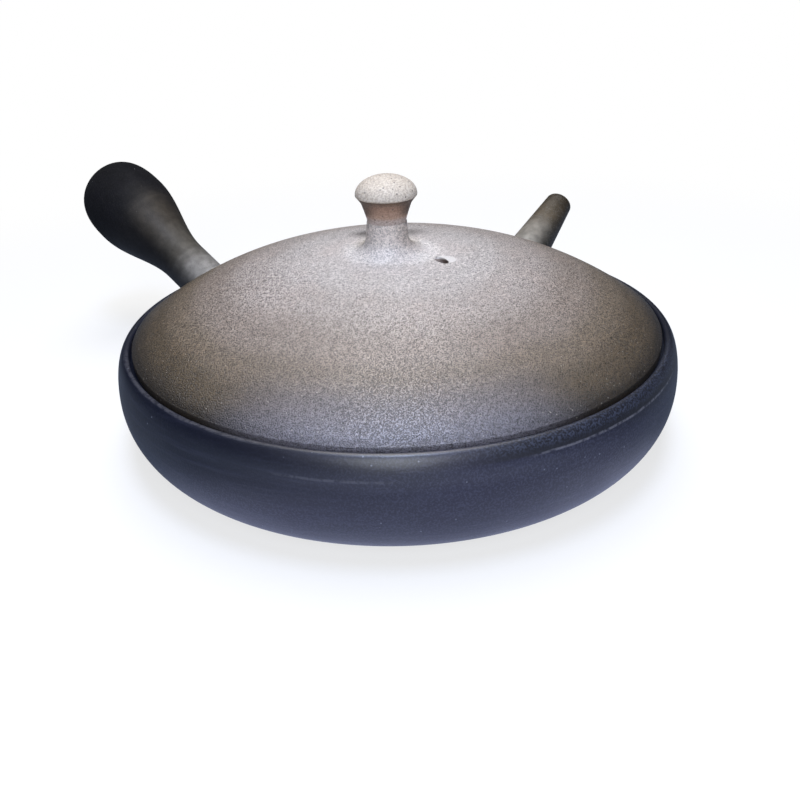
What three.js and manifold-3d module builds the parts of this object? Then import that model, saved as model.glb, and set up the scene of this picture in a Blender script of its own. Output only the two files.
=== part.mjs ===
// Side-handled stoneware teapot with a loose drop-in lid. Lengths are in millimetres, +Z is up.
// The origin is the middle of the flat underside, and the spout pours towards +X.

import * as THREE from 'three';
import { mergeVertices } from 'three/addons/utils/BufferGeometryUtils.js';
import Module from 'manifold-3d';

const wasm = await Module();
wasm.setup();

// Bowl
const bodyRadius = 70;
const baseShare = 0.75;
const bellyHeight = 18.1;
const rimHeight = 28;
const shoulderWidth = 3.8;
const wall = 3.4;
const floorThickness = 4;
const rimRound = 0.7;
const bellyCurveShare = 2.07;

// Ledge inside the mouth, which carries the lid
const ledgeDrop = 1.8;
const ledgeWidth = 5.7;
const ledgeThickness = 2;
const ledgeCove = 0.8;
const ledgeRound = 0.6;

// Clearances
const luting = 0.3;
const lidSideGap = 0.6;
const flangeGap = 0.7;
const overrun = 3;

// Lid
const lidEdgeThickness = 2.2;
const lidEdgeRound = 0.4;
const lidWall = 3.4;
const lidRestWidth = 4;
const domeRise = 18;
const domeCurveShare = 2.6;
const bossRadius = 5.2;
const bossTopRadius = 4.85;
const bossHeight = 6.9;
const bossFoot = 4.4;
const bossFootRise = 3.4;
const bossRound = 0.25;
const ventRadius = 1.75;
const ventBevel = 0.6;
const ventDistance = 14.5;
const ventDegrees = -92.6;

// Locating ring under the lid
const flangeDepth = 5.4;
const flangeThickness = 3;
const flangeRound = 0.8;

// Knob
const neckRadius = 4.6;
const neckTopRadius = 5.95;
const neckHeight = 5.1;
const capRadius = 7.5;
const capUnderRise = 2.3;
const capTopRise = 4.6;

// Spout
const spoutRiseDegrees = 22.8;
const spoutRootDrop = 9;
const spoutLength = 36.2;
const spoutFootRadius = 6.9;
const spoutFootLength = 13;
const spoutNeckRadius = 5.7;
const spoutTipRadius = 4.1;
const spoutBoreRadius = 4;
const spoutTipBoreRadius = 2.8;
const spoutLipRound = 0.6;

// Strainer dome over the wall's bore at the spout
const strainerRadius = 7.4;
const strainerWall = 1.6;
const strainerHoleRadius = 0.75;
const strainerPitch = 2.1;
const strainerRings = 2;
const strainerHolesPerRing = 6;

// Handle
const handleTurnDegrees = 82.4;
const handleRiseDegrees = 27.2;
const handleRootDrop = 8.7;
const handleLength = 60.8;
const handleWaistRadius = 6.9;
const handleWaistLength = 16;
const handleClubRadius = 12.5;
const handleClubPlace = 45;
const handleEndCurveShare = 2.8;
const handleWall = 3.2;
const handleVentRadius = 2.5;

// Coils of clay that lute the spout and the handle to the wall
const coilWidth = 2.4;
const coilReach = 3.4;
const coilCrest = 0.6;

// How far an arm starts inside the bowl's outline, where the wall's own shape trims it
const rootDepth = 9;

// Facets
const bowlSteps = 56;
const armSteps = 24;
const knobSteps = 24;
const holeSteps = 6;
const ventSteps = 12;
const curveSteps = 6;
const roundSteps = 2;
const domeSteps = 7;

// Angles
const circleDegrees = 360;
const quarterDegrees = 90;
const roundCurveShare = 2;

const clay = {
  bowl: { color: '#2b2a36', roughness: 0.72, metalness: 0 },
  lid: { color: '#8d8279', roughness: 0.8, metalness: 0 },
  knob: { color: '#b3a79b', roughness: 0.8, metalness: 0 },
  handle: { color: '#232127', roughness: 0.6, metalness: 0 },
  spout: { color: '#453d39', roughness: 0.7, metalness: 0 },
  inside: { color: '#4a3f39', roughness: 0.85, metalness: 0 },
};

const point = (across, up) => new THREE.Vector2(across, up);

const radians = (degrees) => THREE.MathUtils.degToRad(degrees);

// Points along a superellipse between two turns, where a turn of zero points away from the axis
function arc(centre, span, from, to, steps = curveSteps, curveShare = roundCurveShare) {
  const points = [];
  for (let i = 0; i <= steps; i += 1) {
    const turn = radians(from + (to - from) * i / steps);
    const across = Math.abs(Math.cos(turn)) ** (roundCurveShare / curveShare);
    const up = Math.abs(Math.sin(turn)) ** (roundCurveShare / curveShare);
    points.push(point(centre.x + span.x * across, centre.y + span.y * up));
  }
  return points;
}

// Moves an outline that runs from the axis outwards and up by a distance along its outward side
function offset(points, distance) {
  return points.map((here, i) => {
    const before = points[Math.max(i - 1, 0)];
    const after = points[Math.min(i + 1, points.length - 1)];
    const along = after.clone().sub(before).normalize();
    return point(Math.max(here.x + along.y * distance, 0), here.y - along.x * distance);
  });
}

// A shape turned about the Z axis, as on a potter's wheel
function turned(points, steps) {
  return new THREE.LatheGeometry(points, steps).rotateX(radians(quarterDegrees));
}

// A round bar along the Z axis
function rod(radius, from, to, steps) {
  return turned([point(0, from), point(radius, from), point(radius, to), point(0, to)], steps);
}

// A solid for joining and cutting, with shared corners merged and flat triangles left out
function solid(geometry) {
  geometry.deleteAttribute('normal');
  geometry.deleteAttribute('uv');
  const merged = mergeVertices(geometry);
  const corners = merged.index.array;
  const kept = [];
  for (let i = 0; i < corners.length; i += 3) {
    const [a, b, c] = [corners[i], corners[i + 1], corners[i + 2]];
    if (a !== b && b !== c && c !== a) {
      kept.push(a, b, c);
    }
  }
  const mesh = new wasm.Mesh({
    numProp: 3,
    vertProperties: new Float32Array(merged.attributes.position.array),
    triVerts: new Uint32Array(kept),
  });
  return new wasm.Manifold(mesh);
}

// A named piece of fired clay from a solid
function piece(name, shape, finish) {
  const mesh = shape.getMesh();
  const geometry = new THREE.BufferGeometry();
  geometry.setAttribute('position', new THREE.BufferAttribute(mesh.vertProperties, mesh.numProp));
  geometry.setIndex(new THREE.BufferAttribute(mesh.triVerts, 1));
  geometry.computeVertexNormals();
  const made = new THREE.Mesh(geometry, new THREE.MeshStandardMaterial(finish));
  made.name = name;
  return made;
}

// Places that follow from the sizes above
const baseRadius = bodyRadius * baseShare;
const rimInnerRadius = bodyRadius - shoulderWidth;
const mouthRadius = rimInnerRadius - ledgeWidth;
const ledgeHeight = rimHeight - ledgeDrop;
const ledgeUnder = ledgeHeight - ledgeThickness;
const innerRadius = bodyRadius - wall;
const lidRadius = rimInnerRadius - lidSideGap;
const bossTop = lidEdgeThickness + domeRise + bossHeight;
const spoutRootHeight = rimHeight - spoutRootDrop;
const handleRootHeight = rimHeight - handleRootDrop;

// Outer outline of the bowl, from the middle of the underside to the middle of the rim's plane
function bowlOutline() {
  const rimTopRadius = rimInnerRadius + rimRound;
  return [
    point(0, 0),
    ...arc(point(baseRadius, bellyHeight), point(bodyRadius - baseRadius, -bellyHeight),
      quarterDegrees, 0, curveSteps, bellyCurveShare),
    ...arc(point(rimTopRadius, bellyHeight), point(bodyRadius - rimTopRadius, rimHeight - bellyHeight),
      0, quarterDegrees).slice(1),
    point(0, rimHeight),
  ];
}

// Outline of the space in the bowl, from the middle of the floor to the middle of the ledge's plane
function cavityOutline() {
  return [
    point(0, floorThickness),
    ...arc(point(baseRadius, bellyHeight), point(innerRadius - baseRadius, floorThickness - bellyHeight),
      quarterDegrees, 0, curveSteps, bellyCurveShare),
    point(rimInnerRadius, ledgeUnder - ledgeCove),
    ...arc(point(mouthRadius + ledgeRound, ledgeUnder + ledgeRound), point(-ledgeRound, -ledgeRound),
      quarterDegrees, 0, roundSteps),
    point(0, ledgeUnder + ledgeRound),
  ];
}

// Thrown bowl with its floor, belly, shoulder and ledge, bored through where the spout stands
function bowl(spoutArm) {
  const mouth = [
    ...arc(point(rimInnerRadius + rimRound, rimHeight - rimRound), point(-rimRound, rimRound),
      quarterDegrees, 0, roundSteps).slice(1),
    point(rimInnerRadius, ledgeHeight),
    ...arc(point(mouthRadius + ledgeRound, ledgeHeight - ledgeRound), point(-ledgeRound, ledgeRound),
      quarterDegrees, 0, roundSteps),
  ];
  const outline = [...bowlOutline().slice(0, -1), ...mouth, ...cavityOutline().reverse().slice(1)];
  const bore = rod(spoutBoreRadius, -rootDepth, overrun, armSteps).applyMatrix4(spoutArm.matrixWorld);
  return solid(turned(outline, bowlSteps)).subtract(solid(bore));
}

// The bowl's outline with the luting gap, filled and seen from an arm's own frame
function bowlSeenFrom(arm) {
  const filled = turned(offset(bowlOutline(), luting), bowlSteps);
  return solid(filled.applyMatrix4(arm.matrixWorld.clone().invert()));
}

// The space in the bowl less the luting gap, seen from an arm's own frame
function cavitySeenFrom(arm) {
  const filled = turned(offset(cavityOutline(), -luting), bowlSteps);
  return solid(filled.applyMatrix4(arm.matrixWorld.clone().invert()));
}

// Thrown tube with a flared foot, a tapered neck and a rounded lip
function spout(arm) {
  const outside = [
    point(spoutFootRadius, -rootDepth),
    ...arc(point(spoutFootRadius, spoutFootLength), point(spoutNeckRadius - spoutFootRadius, -spoutFootLength),
      quarterDegrees, 0),
    ...arc(point(spoutTipRadius - spoutLipRound, spoutLength - spoutLipRound),
      point(spoutLipRound, spoutLipRound), 0, quarterDegrees, roundSteps),
  ];
  const inside = [
    ...arc(point(spoutTipBoreRadius + spoutLipRound, spoutLength - spoutLipRound),
      point(-spoutLipRound, spoutLipRound), quarterDegrees, 0, roundSteps),
    point(spoutBoreRadius, spoutFootLength),
    point(spoutBoreRadius, -rootDepth),
    point(spoutFootRadius, -rootDepth),
  ];
  return solid(turned([...outside, ...inside], armSteps)).subtract(bowlSeenFrom(arm));
}

// Pierced dome inside the wall, which holds the leaves back
function strainer(arm) {
  const seat = -wall / Math.cos(radians(spoutRiseDegrees));
  const ball = (radius) => arc(point(0, seat), point(radius, -radius), quarterDegrees, 0)
    .concat(arc(point(0, seat), point(radius, radius), 0, quarterDegrees).slice(1));
  let dome = solid(turned(ball(strainerRadius), armSteps));
  dome = dome.intersect(cavitySeenFrom(arm));
  dome = dome.subtract(solid(turned(ball(strainerRadius - strainerWall), armSteps)));
  for (let ring = 0; ring <= strainerRings; ring += 1) {
    const holes = Math.max(ring * strainerHolesPerRing, 1);
    for (let i = 0; i < holes; i += 1) {
      const turn = radians(circleDegrees * i / holes);
      const hole = rod(strainerHoleRadius, seat - strainerRadius - overrun, seat, holeSteps);
      hole.translate(strainerPitch * ring * Math.cos(turn), strainerPitch * ring * Math.sin(turn), 0);
      dome = dome.subtract(solid(hole));
    }
  }
  return dome;
}

// Outline of the handle or of its hollow, whose radii are less by an inset
function handleOutline(inset) {
  const waist = handleWaistRadius - inset;
  const club = handleClubRadius - inset;
  const swell = [];
  for (let i = 0; i < curveSteps; i += 1) {
    const share = i / curveSteps;
    const place = handleWaistLength + (handleClubPlace - handleWaistLength) * share;
    swell.push(point(waist + (club - waist) * THREE.MathUtils.smoothstep(share, 0, 1), place));
  }
  return [
    point(0, -rootDepth),
    point(waist, -rootDepth),
    ...swell,
    ...arc(point(0, handleClubPlace), point(club, handleLength - inset - handleClubPlace),
      0, quarterDegrees, curveSteps, handleEndCurveShare),
  ];
}

// Hollow thrown handle with a slim waist, a club-shaped end and a vent for the kiln
function handle(arm) {
  const vent = rod(handleVentRadius, handleClubPlace, handleLength + overrun, ventSteps);
  return solid(turned(handleOutline(0), armSteps))
    .subtract(solid(turned(handleOutline(handleWall), armSteps)))
    .subtract(solid(vent))
    .subtract(bowlSeenFrom(arm));
}

// Coil of clay round an arm's foot, sheared so that it hugs the upright wall, and kept below the rim
function coil(arm, armRadius, riseDegrees) {
  const inner = armRadius + luting;
  const outline = [
    point(inner, -rootDepth),
    point(inner + coilWidth, -rootDepth),
    ...arc(point(inner + coilWidth, coilReach), point(coilCrest - coilWidth, -coilReach),
      quarterDegrees, 0),
    point(inner, coilReach),
    point(inner, -rootDepth),
  ];
  const upright = new THREE.Matrix4().makeShear(0, -Math.tan(radians(riseDegrees)), 0, 0, 0, 0);
  const belowRim = rod(bodyRadius + rootDepth, 0, rimHeight - rimRound, bowlSteps);
  return solid(turned(outline, armSteps).applyMatrix4(upright))
    .intersect(solid(belowRim.applyMatrix4(arm.matrixWorld.clone().invert())))
    .subtract(bowlSeenFrom(arm));
}

const domeTop = (radius) => lidEdgeThickness + domeRise * (1 - (radius / lidRadius) ** domeCurveShare);

const domeUnder = (radius) => domeTop(radius) - lidWall;

// Points of one of the dome's surfaces between two radii
function domePoints(from, to, height) {
  const points = [];
  for (let i = 0; i <= domeSteps; i += 1) {
    const across = from + (to - from) * i / domeSteps;
    points.push(point(across, height(across)));
  }
  return points;
}

// Boss on the lid that carries the knob, with a hollow curve at its foot that runs out into the dome
function boss() {
  const footRadius = bossRadius + bossFoot;
  const outline = [
    point(0, domeUnder(0) + lidWall / 2),
    point(footRadius, domeUnder(0) + lidWall / 2),
    ...arc(point(footRadius, domeTop(footRadius) + bossFootRise), point(-bossFoot, -bossFootRise),
      quarterDegrees, 0),
    ...arc(point(bossTopRadius - bossRound, bossTop - bossRound), point(bossRound, bossRound),
      0, quarterDegrees, roundSteps),
    point(0, bossTop),
  ];
  return solid(turned(outline, knobSteps));
}

// Domed lid with its resting edge, the boss for the knob and the vent beside it
function lidDome() {
  const restRadius = lidRadius - lidRestWidth;
  const outline = [
    ...domePoints(0, restRadius, domeUnder),
    point(restRadius, 0),
    point(lidRadius, 0),
    ...arc(point(lidRadius - lidEdgeRound, lidEdgeThickness - lidEdgeRound),
      point(lidEdgeRound, lidEdgeRound), 0, quarterDegrees, roundSteps).slice(0, -1),
    ...domePoints(lidRadius - lidEdgeRound, 0, domeTop),
  ];
  const ventTop = domeTop(ventDistance);
  const vent = turned([
    point(0, 0),
    point(ventRadius, 0),
    point(ventRadius, ventTop - ventBevel),
    point(ventRadius + ventBevel + overrun, ventTop + overrun),
    point(0, ventTop + overrun),
  ], ventSteps);
  const turn = radians(ventDegrees);
  vent.translate(ventDistance * Math.cos(turn), ventDistance * Math.sin(turn), 0);
  return solid(turned(outline, bowlSteps)).subtract(solid(vent)).add(boss());
}

// Ring under the dome that drops into the mouth and keeps the lid in its place
function lidFlange() {
  const outer = mouthRadius - flangeGap;
  const inner = outer - flangeThickness;
  const outline = [
    ...arc(point(inner + flangeRound, flangeRound - flangeDepth), point(-flangeRound, -flangeRound),
      0, quarterDegrees, roundSteps),
    ...arc(point(outer - flangeRound, flangeRound - flangeDepth), point(flangeRound, -flangeRound),
      quarterDegrees, 0, roundSteps),
    point(outer, domeUnder(outer) - luting),
    point(inner, domeUnder(inner) - luting),
    point(inner, flangeRound - flangeDepth),
  ];
  return solid(turned(outline, bowlSteps));
}

// Mushroom knob whose neck widens upwards
function knob() {
  const capHeight = neckHeight + capUnderRise;
  const outline = [
    point(0, 0),
    point(neckRadius, 0),
    ...arc(point(neckTopRadius, capHeight), point(capRadius - neckTopRadius, -capUnderRise),
      quarterDegrees, 0),
    ...arc(point(0, capHeight), point(capRadius, capTopRise), 0, quarterDegrees).slice(1),
  ];
  return solid(turned(outline, knobSteps));
}

// A frame that stands on the bowl's widest ring, with its Z axis along a raised arm
function armOn(parent, turnDegrees, riseDegrees, height) {
  const swing = new THREE.Group();
  swing.rotation.z = radians(turnDegrees);
  const arm = new THREE.Group();
  arm.position.set(bodyRadius, 0, height);
  arm.rotation.y = radians(quarterDegrees - riseDegrees);
  swing.add(arm);
  parent.add(swing);
  return arm;
}

const teapot = new THREE.Group();
const spoutArm = armOn(teapot, 0, spoutRiseDegrees, spoutRootHeight);
const handleArm = armOn(teapot, handleTurnDegrees, handleRiseDegrees, handleRootHeight);
const lid = new THREE.Group();
lid.position.z = ledgeHeight + luting;
const knobSeat = new THREE.Group();
knobSeat.position.z = bossTop + luting;
lid.add(knobSeat);
teapot.add(lid);
teapot.updateMatrixWorld(true);

teapot.add(piece('pot_body', bowl(spoutArm), clay.bowl));
spoutArm.add(piece('spout', spout(spoutArm), clay.spout));
spoutArm.add(piece('spout_coil', coil(spoutArm, spoutFootRadius, spoutRiseDegrees), clay.spout));
spoutArm.add(piece('strainer', strainer(spoutArm), clay.inside));
handleArm.add(piece('handle', handle(handleArm), clay.handle));
handleArm.add(piece('handle_coil', coil(handleArm, handleWaistRadius, handleRiseDegrees), clay.handle));
lid.add(piece('lid_dome', lidDome(), clay.lid));
lid.add(piece('lid_flange', lidFlange(), clay.inside));
knobSeat.add(piece('lid_knob', knob(), clay.knob));

export default teapot;
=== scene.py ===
# %% [markdown]
# # A side-handled stoneware teapot
# This lesson dresses a teapot whose working parts are already packed as a fixed frame: a low thrown bowl,
# a hollow handle, a short spout with its strainer, and a loose domed lid with a mushroom knob.
# Every piece here is turned from a short outline, as the clay was on the wheel, and then finished with
# speckled and smoke-darkened clays. The frame says where each piece stands, so nothing is fitted by eye.

# %% Load the frame
import math
import bmesh
import bpy
from mathutils import Matrix, Vector


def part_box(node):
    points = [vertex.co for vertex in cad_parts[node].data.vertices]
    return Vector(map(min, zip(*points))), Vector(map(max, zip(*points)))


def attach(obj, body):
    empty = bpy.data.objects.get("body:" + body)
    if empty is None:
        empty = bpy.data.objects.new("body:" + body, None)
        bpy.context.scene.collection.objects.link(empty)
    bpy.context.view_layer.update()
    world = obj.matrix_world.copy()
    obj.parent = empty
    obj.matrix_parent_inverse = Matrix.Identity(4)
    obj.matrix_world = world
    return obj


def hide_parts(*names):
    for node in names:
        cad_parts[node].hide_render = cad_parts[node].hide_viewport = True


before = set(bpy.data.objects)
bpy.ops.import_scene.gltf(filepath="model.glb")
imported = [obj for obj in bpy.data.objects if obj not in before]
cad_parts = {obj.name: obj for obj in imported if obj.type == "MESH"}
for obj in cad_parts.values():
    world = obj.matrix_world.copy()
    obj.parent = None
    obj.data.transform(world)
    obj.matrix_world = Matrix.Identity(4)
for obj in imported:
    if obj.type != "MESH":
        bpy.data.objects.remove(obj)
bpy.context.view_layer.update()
print("nodes:", sorted(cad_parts))

# %% [markdown]
# ## Sizes
# A potter's gauge gives a few widths and heights, and the rest follows from them. The frame's boxes give the
# big sizes. Beside the photo the boss proved a little taller than its box and the knob a little lower, so
# those two differences are named here. Other small sizes, such as a lip's roundness, are named where a piece
# needs them, in millimetres times MM, because Blender works in metres.

# %% Read the big sizes from the frame
MM = 0.001
BOSS_TALLER = 0.4 * MM
KNOB_LOWER = 0.8 * MM
bowl_low, bowl_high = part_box("pot_body")
lid_low, lid_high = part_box("lid_dome")
flange_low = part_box("lid_flange")[0]
knob_low, knob_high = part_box("lid_knob")

BOWL_RADIUS = -bowl_low.y
RIM_HEIGHT = bowl_high.z
LID_RADIUS = -lid_low.y
LID_REST = lid_low.z
BOSS_TOP = lid_high.z + BOSS_TALLER
FLANGE_RADIUS = -flange_low.y
FLANGE_FOOT = flange_low.z
CAP_RADIUS = -knob_low.y
KNOB_TOP = knob_high.z - KNOB_LOWER
print(f"bowl {2 * BOWL_RADIUS / MM:.1f} mm across, lid {2 * LID_RADIUS / MM:.1f} mm across")
print(f"rim at {RIM_HEIGHT / MM:.1f} mm, top of the knob at {KNOB_TOP / MM:.1f} mm")

# %% [markdown]
# ## The camera
# It stands where the photographer stood: a little under a quarter of a metre away and 28 degrees above the
# table, with the spout away to the right and the handle away to the left. The picture was cropped off centre,
# which a small sideways shift of the lens repeats, and it leans by under three degrees.

# %% Place the camera
CAMERA_AZIMUTH = math.radians(-56.8)
CAMERA_ELEVATION = 28.2
CAMERA_DISTANCE = 3.5 * BOWL_RADIUS
CAMERA_AIM = Vector((-9.47, 0, 5.25)) * MM
CAMERA_LEAN = math.radians(2.73)
PICTURE_WIDTH = 800
FOCAL_PIXELS = 907.65
SHIFT_PIXELS = 40
SENSOR_WIDTH = 36
TOWARDS_CAMERA = Matrix.Rotation(CAMERA_AZIMUTH, 3, "Z")


def direction(azimuth, elevation):
    """The way to a spot so many degrees to the right of the camera's side, and above the table."""
    a, e = math.radians(azimuth), math.radians(elevation)
    return TOWARDS_CAMERA @ Vector((math.sin(a) * math.cos(e), -math.cos(a) * math.cos(e), math.sin(e)))


def add_to_scene(name, data):
    made = bpy.data.objects.new(name, data)
    bpy.context.scene.collection.objects.link(made)
    return made


def place_camera():
    lens = bpy.data.cameras.new("camera")
    lens.sensor_width = SENSOR_WIDTH
    lens.lens = SENSOR_WIDTH * FOCAL_PIXELS / PICTURE_WIDTH
    lens.shift_x = SHIFT_PIXELS / PICTURE_WIDTH
    lens.clip_start = BOWL_RADIUS / 10
    lens.clip_end = 100 * BOWL_RADIUS
    made = add_to_scene("camera", lens)
    place = direction(0, CAMERA_ELEVATION) * CAMERA_DISTANCE
    aim = TOWARDS_CAMERA @ CAMERA_AIM
    turn = (aim - place).to_track_quat("-Z", "Y").to_matrix() @ Matrix.Rotation(-CAMERA_LEAN, 3, "Z")
    made.matrix_world = Matrix.LocRotScale(place, turn, None)
    return made


camera = place_camera()
bpy.context.scene.camera = camera
bpy.context.scene.view_settings.view_transform = "Standard"
print("camera at", [round(v, 4) for v in camera.location], "lens", round(camera.data.lens, 2))

# %% [markdown]
# ## Arithmetic on sockets
# A clay is described best by short formulas, such as "pale where the radius is small". In Blender such a
# formula is a chain of nodes. This class wraps one socket, and each plus, minus or times sign that meets it
# adds the node that does that sum. One more method makes every other kind of node. A colour is written as the
# six figures of a paint chart, and one helper turns them into the linear light that shaders work in.

# %% Wrap a socket
WHITE = (1, 1, 1, 1)


def clay_colour(six_figures):
    channels = [int(six_figures[i:i + 2], 16) / 255 for i in (0, 2, 4)]
    return tuple(c / 12.92 if c <= 0.04045 else ((c + 0.055) / 1.055) ** 2.4 for c in channels) + (1,)


def grey(level):
    return (level, level, level, 1)


def set_stops(ramp, stops):
    ramp.interpolation = "EASE"
    while len(ramp.elements) < len(stops):
        ramp.elements.new(1)
    for element, (place, colour) in zip(ramp.elements, stops):
        element.position = place
        element.color = clay_colour(colour)


class Wire:
    def __init__(self, socket):
        self.socket = socket

    def node(self, kind, settings=None, inputs=None, output=0):
        tree = self.socket.id_data
        made = tree.nodes.new(kind)
        for setting, value in (settings or {}).items():
            if setting == "stops":
                set_stops(made.color_ramp, value)
            else:
                setattr(made, setting, value)
        for place, value in (inputs or {}).items():
            if isinstance(value, Wire):
                tree.links.new(value.socket, made.inputs[place])
            else:
                made.inputs[place].default_value = clay_colour(value) if isinstance(value, str) else value
        return Wire(made.outputs[output])

    def maths(self, operation, first, second=0.0):
        return self.node("ShaderNodeMath", {"operation": operation}, {0: first, 1: second})

    def vector(self, operation, first, second=(0, 0, 0), output=0):
        return self.node("ShaderNodeVectorMath", {"operation": operation}, {0: first, 1: second}, output)

    def __add__(self, other):
        return self.maths("ADD", self, other)

    def __sub__(self, other):
        return self.maths("SUBTRACT", self, other)

    def __mul__(self, other):
        return self.maths("MULTIPLY", self, other)

    def __truediv__(self, other):
        return self.maths("DIVIDE", self, other)

    def __rsub__(self, other):
        return self.maths("SUBTRACT", other, self)

    __radd__ = __add__
    __rmul__ = __mul__

    def mix(self, low, high, blend="MIX"):
        blended = {"data_type": "RGBA", "blend_type": blend}
        return self.node("ShaderNodeMix", blended, {0: self, 6: low, 7: high}, 2)

    def between(self, low, high):
        ranged = {"interpolation_type": "SMOOTHSTEP"}
        return self.node("ShaderNodeMapRange", ranged, {"Value": self, "From Min": low, "From Max": high})

    def ramp(self, *stops):
        return self.node("ShaderNodeValToRGB", {"stops": stops}, {0: self})


print("a middle grey in linear light:", [round(c, 3) for c in clay_colour("808080")])

# %% [markdown]
# ## Places on a piece
# A clay's marks lie at places on its piece. A photograph of clay could be wrapped round each piece, but small
# formulas stay sharp from near by. They read a point's own place on the piece, so that nothing slides when
# the lid is lifted or turned. These helpers measure from there: one coordinate, the distance from a spot, and
# the distance along a line.

# %% Measure places on a piece
def start_material(name):
    material = bpy.data.materials.new(name)
    material.use_nodes = True
    material.node_tree.nodes.clear()
    return material, Wire(material.node_tree.nodes.new("ShaderNodeTexCoord").outputs["Object"])


def coordinate(place, axis):
    return place.node("ShaderNodeSeparateXYZ", None, {0: place}, "xyz".index(axis))


def how_far(place, spot=(0, 0, 0)):
    """How far a point lies from a spot."""
    return place.vector("DISTANCE", place, tuple(spot), 1)


def reach(place, root, way):
    """How far a point lies from a root, measured along one way only."""
    offset = place.vector("SUBTRACT", place, tuple(root))
    return offset.vector("DOT_PRODUCT", offset, tuple(way), 1)


# %% [markdown]
# ## Clay
# Stoneware is fired clay full of sand. All the clays of this pot share a way of working: a fine grain from a
# noise, a few dark iron specks and pale grains of sand from Voronoi cells, and a rough surface with little
# shine. Where hands have rubbed the clay, a thin clear coat stands for the burnish. The grain could be real
# bumps in the mesh, but at a tenth of a millimetre a Bump node looks the same and costs no faces.

# %% Grain, specks and finish
SPECK_CORE = 0.6
CHANCE_BLUR = 0.02
BURNISHED = 0.32


def noise(place, scale, detail=2.0):
    return place.node("ShaderNodeTexNoise", None, {"Vector": place, "Scale": scale, "Detail": detail})


def specks(place, scale, size, share):
    """One where a speck of the given size lies, on a share of the cells that are 1/scale wide."""
    cells = {"Vector": place, "Scale": scale}
    distance = place.node("ShaderNodeTexVoronoi", None, cells, 0)
    lot = place.node("ShaderNodeTexVoronoi", None, cells, 1)
    chance = place.node("ShaderNodeSeparateColor", None, {0: lot})
    chosen = chance.between(1 - share - CHANCE_BLUR, 1 - share + CHANCE_BLUR)
    return (1 - distance.between(size * SPECK_CORE, size)) * chosen


def connect_output(shader):
    tree = shader.socket.id_data
    tree.links.new(shader.socket, tree.nodes.new("ShaderNodeOutputMaterial").inputs["Surface"])


def finish_clay(material, colour, roughness, bump, bump_height, shine=0.5, burnish=0.0):
    normal = bump.node("ShaderNodeBump", None, {"Strength": 1.0, "Distance": bump_height, "Height": bump})
    connect_output(bump.node("ShaderNodeBsdfPrincipled", None, {
        "Base Color": colour, "Roughness": roughness, "Normal": normal, "Specular IOR Level": shine,
        "Coat Weight": burnish, "Coat Roughness": BURNISHED}))
    print(material.name, "has", len(material.node_tree.nodes), "nodes")
    return material


def give(made, material):
    made.data.materials.clear()
    made.data.materials.append(material)


# %% [markdown]
# ## Outlines
# Every piece of this pot is round, so half a section says all about its shape: a list of radii and heights.
# One helper draws straight stretches, and another draws quarter curves, round or a little squarer, because
# hand-thrown bellies are fuller than a true ellipse. A cylinder could be sculpted instead, but an outline
# keeps every thickness exact.

# %% Draw outlines
ROUND_STEPS = 6


def clamped(value):
    return min(max(value, 0), 1)


def eased(share):
    """Goes from 0 to 1 as its share does, but starts and ends gently."""
    return share * share * (3 - 2 * share)


def spaced(start, stop, steps):
    return [start + (stop - start) * i / steps for i in range(steps + 1)]


def line(start, stop, steps):
    return list(zip(spaced(start[0], stop[0], steps), spaced(start[1], stop[1], steps)))


def arc(centre, span, start, stop, steps=ROUND_STEPS, curve=2.0):
    points = []
    for turn in map(math.radians, spaced(start, stop, steps)):
        across = abs(math.cos(turn)) ** (2 / curve)
        up = abs(math.sin(turn)) ** (2 / curve)
        points.append((centre[0] + span[0] * across, centre[1] + span[1] * up))
    return points


# %% [markdown]
# ## The wheel
# One helper plays the potter's wheel: it makes a row of corners from an outline and spins the row through a
# full turn. The others play the potter's hands and knife. One makes a piece of the shape and says which part
# it dresses, and one cuts it with a Boolean modifier, which is applied at once, so that the piece ends as a
# plain mesh.

# %% Turn outlines, and cut what they make
TURNS = 192
SMALL_TURNS = 96
TOOL_TURNS = 48
WELD = 0.001 * MM
CREASE = math.radians(50)


def thrown(outline, turns=TURNS):
    shape = bmesh.new()
    row = [shape.verts.new((radius, 0, height)) for radius, height in outline]
    edges = [shape.edges.new(pair) for pair in zip(row, row[1:])]
    bmesh.ops.spin(shape, geom=row + edges, cent=(0, 0, 0), axis=(0, 0, 1), angle=math.tau,
                   steps=turns, use_merge=True, use_duplicate=False)
    bmesh.ops.remove_doubles(shape, verts=shape.verts, dist=WELD)
    bmesh.ops.recalc_face_normals(shape, faces=shape.faces)
    return shape


def mesh_of(name, shape):
    for face in shape.faces:
        face.smooth = True
    mesh = bpy.data.meshes.new(name)
    shape.to_mesh(mesh)
    shape.free()
    return mesh


def piece(name, shape, body, slot, *nodes):
    made = add_to_scene(name, mesh_of(name, shape))
    made.data.set_sharp_from_angle(angle=CREASE)
    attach(made, body)
    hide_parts(*nodes)
    print(name, "has", len(made.data.polygons), "faces")
    return made


def cut(made, tool_shape, operation="DIFFERENCE"):
    """Cuts a piece with a tool, or keeps only what the tool holds, and throws the tool away."""
    tool = add_to_scene("tool", mesh_of("tool", tool_shape))
    knife = made.modifiers.new("knife", "BOOLEAN")
    knife.operation = operation
    knife.solver = "EXACT"
    knife.object = tool
    bpy.context.view_layer.update()
    after = bpy.data.meshes.new_from_object(made.evaluated_get(bpy.context.evaluated_depsgraph_get()))
    made.modifiers.remove(knife)
    spent = (made.data, tool.data)
    made.data = after
    bpy.data.objects.remove(tool)
    for mesh in spent:
        bpy.data.meshes.remove(mesh)
    after.set_sharp_from_angle(angle=CREASE)
    print(made.name, "has", len(after.polygons), "faces after the cut")


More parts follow.
